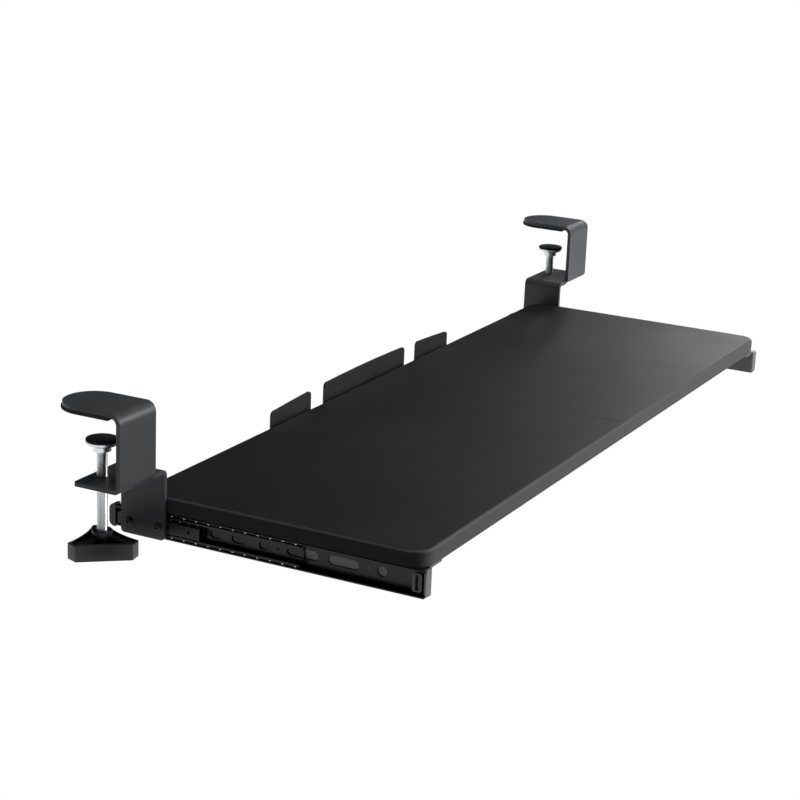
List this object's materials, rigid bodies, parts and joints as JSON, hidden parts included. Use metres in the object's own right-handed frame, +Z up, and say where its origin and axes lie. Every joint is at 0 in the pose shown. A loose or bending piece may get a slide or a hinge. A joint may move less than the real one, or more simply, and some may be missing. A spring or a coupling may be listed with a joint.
{
  "type": "under-desk keyboard tray",
  "caption": "Clamp-on under-desk keyboard tray: flat board on telescopic ball-bearing slides, hung from two screw clamps, with a low cable fence behind.",
  "frame": {"origin": "the middle of the left jaw pad's contact face, which rests on the desk's top just behind its front edge", "axes": "+X to the right along the desk edge as seen by the person at the desk, +Y in under the desk, +Z up"},
  "size_m": [1.0702, 0.3444, 0.1455],
  "materials": {
    "board": "matt black laminate on fibreboard, finely textured",
    "dowel": "plain beech",
    "black_steel": "matt black powder coat",
    "rail_steel": "black electrophoretic coat, satin",
    "zinc": "bright zinc plate",
    "ball_steel": "polished bearing steel",
    "black_screw": "black oxide",
    "rubber": "soft black rubber",
    "plastic": "moulded black plastic with a fine grain"
  },
  "bodies": {
    "clamps": {"left_clamp_bracket": "black_steel", "left_jaw_pad": "rubber", "left_fixed_rail": "rail_steel", "left_web_screws": "black_screw", "right_clamp_bracket": "black_steel", "right_jaw_pad": "rubber", "right_fixed_rail": "rail_steel", "right_web_screws": "black_screw"},
    "tray": {"left_board": "board", "right_board": "board", "board_dowels": "dowel", "joining_plate": "black_steel", "joining_plate_screws": "zinc", "left_side_bracket": "black_steel", "left_bracket_screws": "zinc", "left_tray_rail": "rail_steel", "left_rail_rivets": "zinc", "left_rail_buffer": "plastic", "right_side_bracket": "black_steel", "right_bracket_screws": "zinc", "right_tray_rail": "rail_steel", "right_rail_rivets": "zinc", "right_rail_buffer": "plastic"},
    "left_middle": {"left_middle_rail": "rail_steel", "left_middle_rail_stop": "plastic"},
    "left_outer_bearing": {"left_outer_ball_cage": "rail_steel", "left_outer_balls": "ball_steel"},
    "left_inner_bearing": {"left_inner_ball_cage": "rail_steel", "left_inner_balls": "ball_steel"},
    "left_foot": {"left_pressure_foot": "zinc", "left_foot_pad": "rubber"},
    "left_screw": {"left_clamp_screw": "zinc", "left_clamp_knob": "plastic"},
    "right_middle": {"right_middle_rail": "rail_steel", "right_middle_rail_stop": "plastic"},
    "right_outer_bearing": {"right_outer_ball_cage": "rail_steel", "right_outer_balls": "ball_steel"},
    "right_inner_bearing": {"right_inner_ball_cage": "rail_steel", "right_inner_balls": "ball_steel"},
    "right_foot": {"right_pressure_foot": "zinc", "right_foot_pad": "rubber"},
    "right_screw": {"right_clamp_screw": "zinc", "right_clamp_knob": "plastic"}
  },
  "joints": [
    {"name": "tray_slide", "type": "slide", "parent": "clamps", "child": "tray", "axis": [0, 1, 0], "range_m": [0, 0.21]},
    {"name": "left_middle_slide", "type": "slide", "parent": "clamps", "child": "left_middle", "axis": [0, 1, 0], "range_m": [0, 0.105]},
    {"name": "left_outer_bearing_slide", "type": "slide", "parent": "clamps", "child": "left_outer_bearing", "axis": [0, 1, 0], "range_m": [0, 0.1575]},
    {"name": "left_inner_bearing_slide", "type": "slide", "parent": "clamps", "child": "left_inner_bearing", "axis": [0, 1, 0], "range_m": [0, 0.0525]},
    {"name": "left_foot_lift", "type": "slide", "parent": "clamps", "child": "left_foot", "axis": [0, 0, 1], "range_m": [-0.021, 0.018]},
    {"name": "left_screw_turn", "type": "hinge", "parent": "left_foot", "child": "left_screw", "pos_m": [0, -0.00575, -0.0338], "axis": [0, 0, 1], "range_deg": [-5041, 4321]},
    {"name": "right_middle_slide", "type": "slide", "parent": "clamps", "child": "right_middle", "axis": [0, 1, 0], "range_m": [0, 0.105]},
    {"name": "right_outer_bearing_slide", "type": "slide", "parent": "clamps", "child": "right_outer_bearing", "axis": [0, 1, 0], "range_m": [0, 0.1575]},
    {"name": "right_inner_bearing_slide", "type": "slide", "parent": "clamps", "child": "right_inner_bearing", "axis": [0, 1, 0], "range_m": [0, 0.0525]},
    {"name": "right_foot_lift", "type": "slide", "parent": "clamps", "child": "right_foot", "axis": [0, 0, 1], "range_m": [-0.021, 0.018]},
    {"name": "right_screw_turn", "type": "hinge", "parent": "right_foot", "child": "right_screw", "pos_m": [1.003, -0.00575, -0.0338], "axis": [0, 0, 1], "range_deg": [-5041, 4321]}
  ],
  "couplings": [
    {"joint": "left_middle_slide", "follows": "tray_slide", "ratio": 0.5},
    {"joint": "left_outer_bearing_slide", "follows": "tray_slide", "ratio": 0.75},
    {"joint": "left_inner_bearing_slide", "follows": "tray_slide", "ratio": 0.25},
    {"joint": "left_screw_turn", "follows": "left_foot_lift", "rad_per_m": 4188.8},
    {"joint": "right_middle_slide", "follows": "tray_slide", "ratio": 0.5},
    {"joint": "right_outer_bearing_slide", "follows": "tray_slide", "ratio": 0.75},
    {"joint": "right_inner_bearing_slide", "follows": "tray_slide", "ratio": 0.25},
    {"joint": "right_screw_turn", "follows": "right_foot_lift", "rad_per_m": 4188.8}
  ]
}
